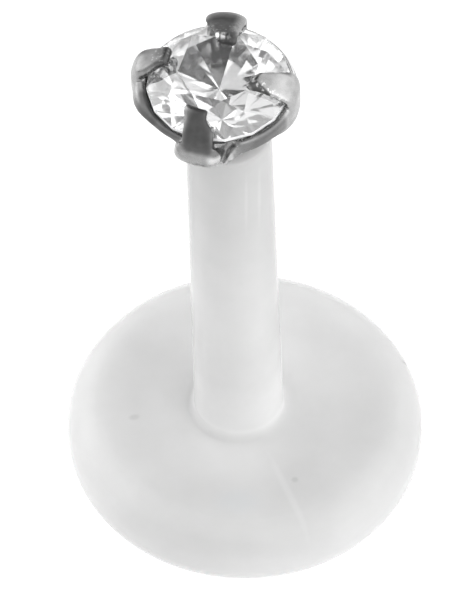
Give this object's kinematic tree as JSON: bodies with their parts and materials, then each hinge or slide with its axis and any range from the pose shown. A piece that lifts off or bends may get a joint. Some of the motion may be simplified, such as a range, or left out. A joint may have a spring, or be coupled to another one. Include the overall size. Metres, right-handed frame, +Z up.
{
  "type": "labret stud",
  "caption": "Push-fit labret stud: a milky plastic post with a round back and a slim stem, and a clear round stone in a claw setting on a pin.",
  "frame": {"origin": "middle of the back's flat underside, where the stud stands", "axes": "+Z up along the stem to the stone, -Y to the front of the picture's view, +X to its right"},
  "size_m": [0.005, 0.005, 0.009],
  "materials": {
    "milky_plastic": "satin, milky and see-through",
    "grey_metal": "tumbled, soft shine",
    "clear_stone": "cut and polished facets"
  },
  "bodies": {
    "root": {"post": "milky_plastic", "setting": "grey_metal", "stone": "clear_stone"}
  },
  "joints": []
}
